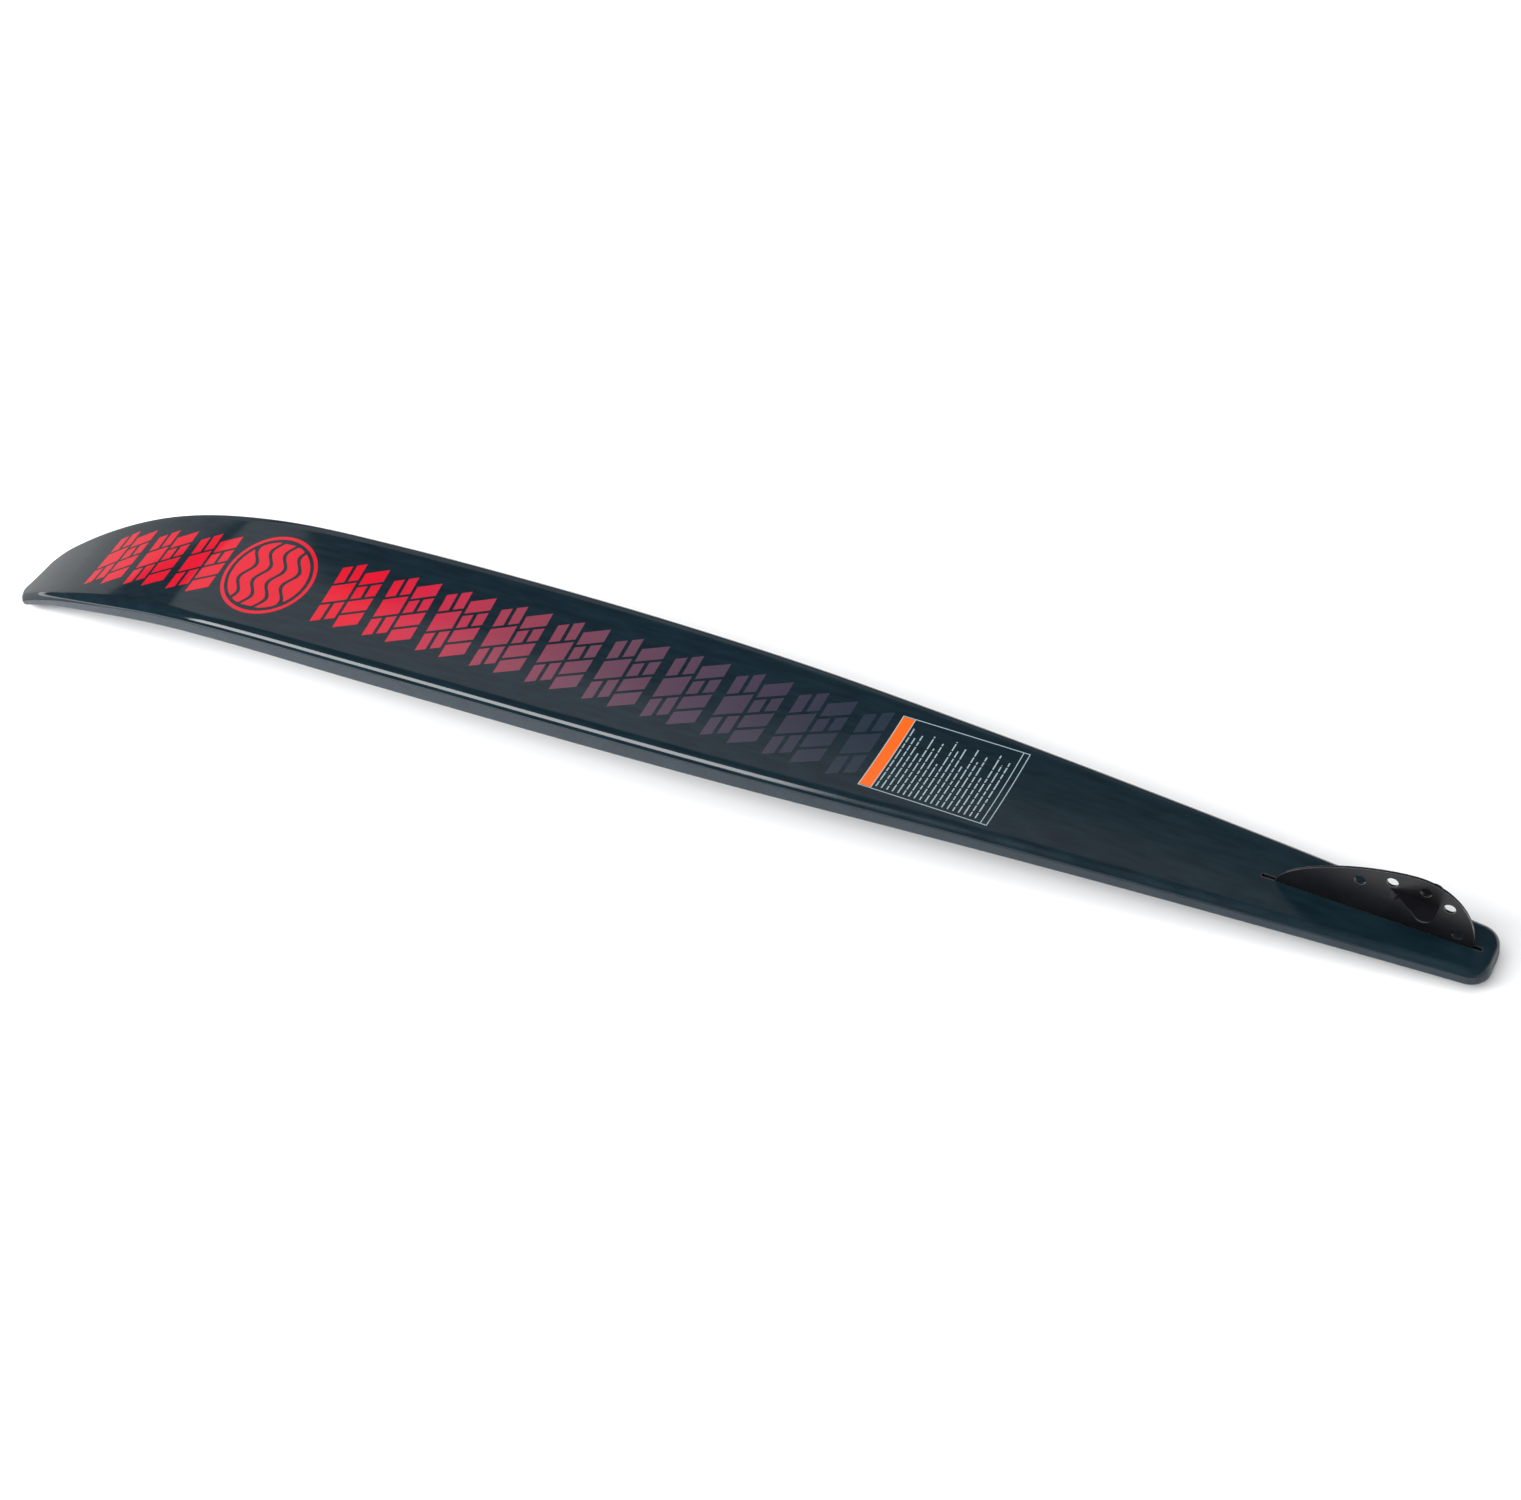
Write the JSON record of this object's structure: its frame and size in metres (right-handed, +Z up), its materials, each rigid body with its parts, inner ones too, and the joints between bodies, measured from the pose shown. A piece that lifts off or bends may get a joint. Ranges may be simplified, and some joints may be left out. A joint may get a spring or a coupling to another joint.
{
  "type": "slalom water ski",
  "caption": "Single tapered slalom water ski lying base-up, with a turned-up tip, a slotted adjustable fin block, and a drilled fin that carries a pair of small wings.",
  "frame": {"origin": "on the floor under the middle of the ski, which lies base-up on its tip and on the rear end of its fin block", "axes": "+X towards the tail, +Y to one rail, +Z up, out of the base"},
  "size_m": [1.702, 0.175, 0.1181],
  "materials": {
    "base_laminate": "polished clear coat over a dark blue-green printed laminate",
    "deck_laminate": "satin moulded laminate",
    "foam": "closed-cell foam, sealed inside",
    "insert_laminate": "pressed glass-fibre sheet",
    "insert_metal": "machined",
    "slot_edge": "bare edge",
    "block_metal": "black anodised, satin",
    "block_grey": "clear anodised, satin",
    "screw_steel": "stainless",
    "fin_metal": "black anodised, satin with a bare machined edge",
    "wing_metal": "black anodised, satin with a bare machined edge"
  },
  "bodies": {
    "ski": {"base_shell": "base_laminate", "top_shell": "deck_laminate", "foam_core": "foam", "front_insert_plate": "insert_laminate", "rear_insert_plate": "insert_laminate", "front_binding_inserts": "insert_metal", "rear_binding_inserts": "insert_metal", "fin_insert_plate": "insert_laminate", "fin_block_inserts": "insert_metal", "slot_liner": "slot_edge", "fin_rail_left": "block_metal", "fin_rail_right": "block_metal", "rail_screws": "screw_steel", "front_bridge": "block_grey", "rear_bridge": "block_grey", "bridge_screws": "screw_steel", "pinch_bolts": "screw_steel", "pinch_nuts": "screw_steel"},
    "carriage": {"fin_carriage": "block_grey"},
    "fin": {"fin_blade": "fin_metal", "front_depth_nut": "block_grey", "rear_depth_nut": "block_grey"},
    "wing": {"wing_left": "wing_metal", "wing_right": "wing_metal", "wing_pivot_screw": "screw_steel", "wing_pivot_nut": "screw_steel", "wing_lock_screw": "screw_steel", "wing_lock_nut": "screw_steel"},
    "fore_aft_adjuster": {"fore_aft_screw": "screw_steel"},
    "front_depth_adjuster": {"front_depth_screw": "screw_steel"},
    "rear_depth_adjuster": {"rear_depth_screw": "screw_steel"}
  },
  "joints": [
    {"name": "fin_fore_aft", "type": "slide", "parent": "ski", "child": "carriage", "axis": [0.9929, 0, -0.1187], "range_m": [-0.008, 0.005]},
    {"name": "fin_depth", "type": "slide", "parent": "carriage", "child": "fin", "axis": [0.1187, 0, 0.9929], "range_m": [-0.0012, 0.0012]},
    {"name": "wing_angle", "type": "hinge", "parent": "fin", "child": "wing", "pos_m": [0.7712, 0, 0.06836], "axis": [0, 1, 0], "range_deg": [-5, 5]},
    {"name": "fore_aft_screw_turn", "type": "hinge", "parent": "ski", "child": "fore_aft_adjuster", "pos_m": [0.64949, 0, 0.02752], "axis": [0.9929, 0, -0.1187], "range_deg": [-2251, 3601]},
    {"name": "front_depth_screw_turn", "type": "hinge", "parent": "carriage", "child": "front_depth_adjuster", "pos_m": [0.69909, 0, 0.02119], "axis": [0.1187, 0, 0.9929], "range_deg": [-618, 618]},
    {"name": "rear_depth_screw_turn", "type": "hinge", "parent": "carriage", "child": "rear_depth_adjuster", "pos_m": [0.78846, 0, 0.0105], "axis": [0.1187, 0, 0.9929], "range_deg": [-618, 618]}
  ],
  "couplings": [
    {"joint": "fore_aft_screw_turn", "follows": "fin_fore_aft", "rad_per_m": -7854},
    {"joint": "front_depth_screw_turn", "follows": "fin_depth", "rad_per_m": -8976},
    {"joint": "rear_depth_screw_turn", "follows": "fin_depth", "rad_per_m": -8976}
  ]
}
